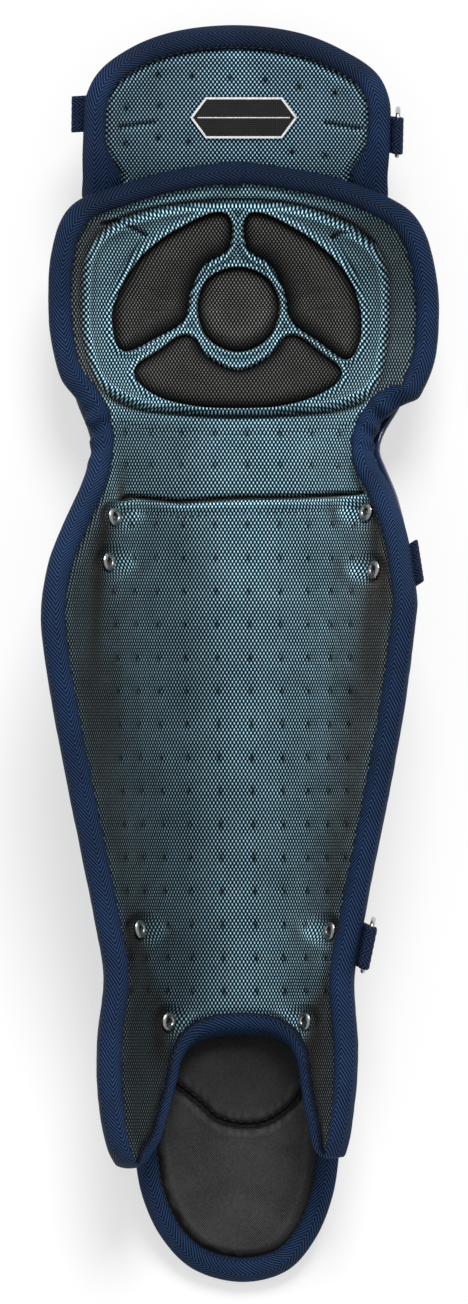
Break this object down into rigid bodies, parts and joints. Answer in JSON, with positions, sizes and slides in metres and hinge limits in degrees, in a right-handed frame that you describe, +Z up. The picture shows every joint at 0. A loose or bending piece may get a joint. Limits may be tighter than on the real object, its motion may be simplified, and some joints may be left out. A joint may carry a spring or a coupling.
{
  "type": "catcher leg guard",
  "caption": "Long padded leg guard with hard shells outside, a mesh-covered foam liner, a thigh flap, a foot flap, bound edges and webbing tabs.",
  "frame": {"origin": "middle of the bounding box, on the floor that the guard lies on", "axes": "+Y runs to the thigh, +X to the inner side of the leg and +Z up, out of the open leg side; the guard lies on its hard shells"},
  "size_m": [0.2126, 0.6602, 0.1186],
  "materials": {
    "liner_mesh": "open mesh with light dots",
    "twill_tape": "herringbone twill",
    "foot_knit": "plain knit",
    "pad_mesh": "open mesh",
    "shell": "satin",
    "badge": "woven look",
    "rivet": "polished",
    "webbing": "flat webbing",
    "wire": "polished"
  },
  "bodies": {
    "root": {"leg_liner": "liner_mesh", "leg_binding": "twill_tape", "thigh_liner": "liner_mesh", "thigh_binding": "twill_tape", "foot_liner": "foot_knit", "foot_binding": "twill_tape", "knee_pad_upper_left": "pad_mesh", "knee_pad_upper_right": "pad_mesh", "knee_pad_lower": "pad_mesh", "knee_pad_center": "pad_mesh", "knee_shell": "shell", "shin_shell": "shell", "thigh_shell": "shell", "foot_shell": "shell", "badge_patch": "badge", "rivet_knee_left": "rivet", "rivet_knee_right": "rivet", "rivet_shin_left": "rivet", "rivet_shin_right": "rivet", "rivet_calf_left": "rivet", "rivet_calf_right": "rivet", "rivet_foot_left": "rivet", "rivet_foot_right": "rivet", "thigh_tab_left": "webbing", "thigh_tab_right": "webbing", "thigh_ring": "wire", "shin_tab_right": "webbing", "ankle_tab_right": "webbing", "ankle_ring": "wire"}
  },
  "joints": []
}
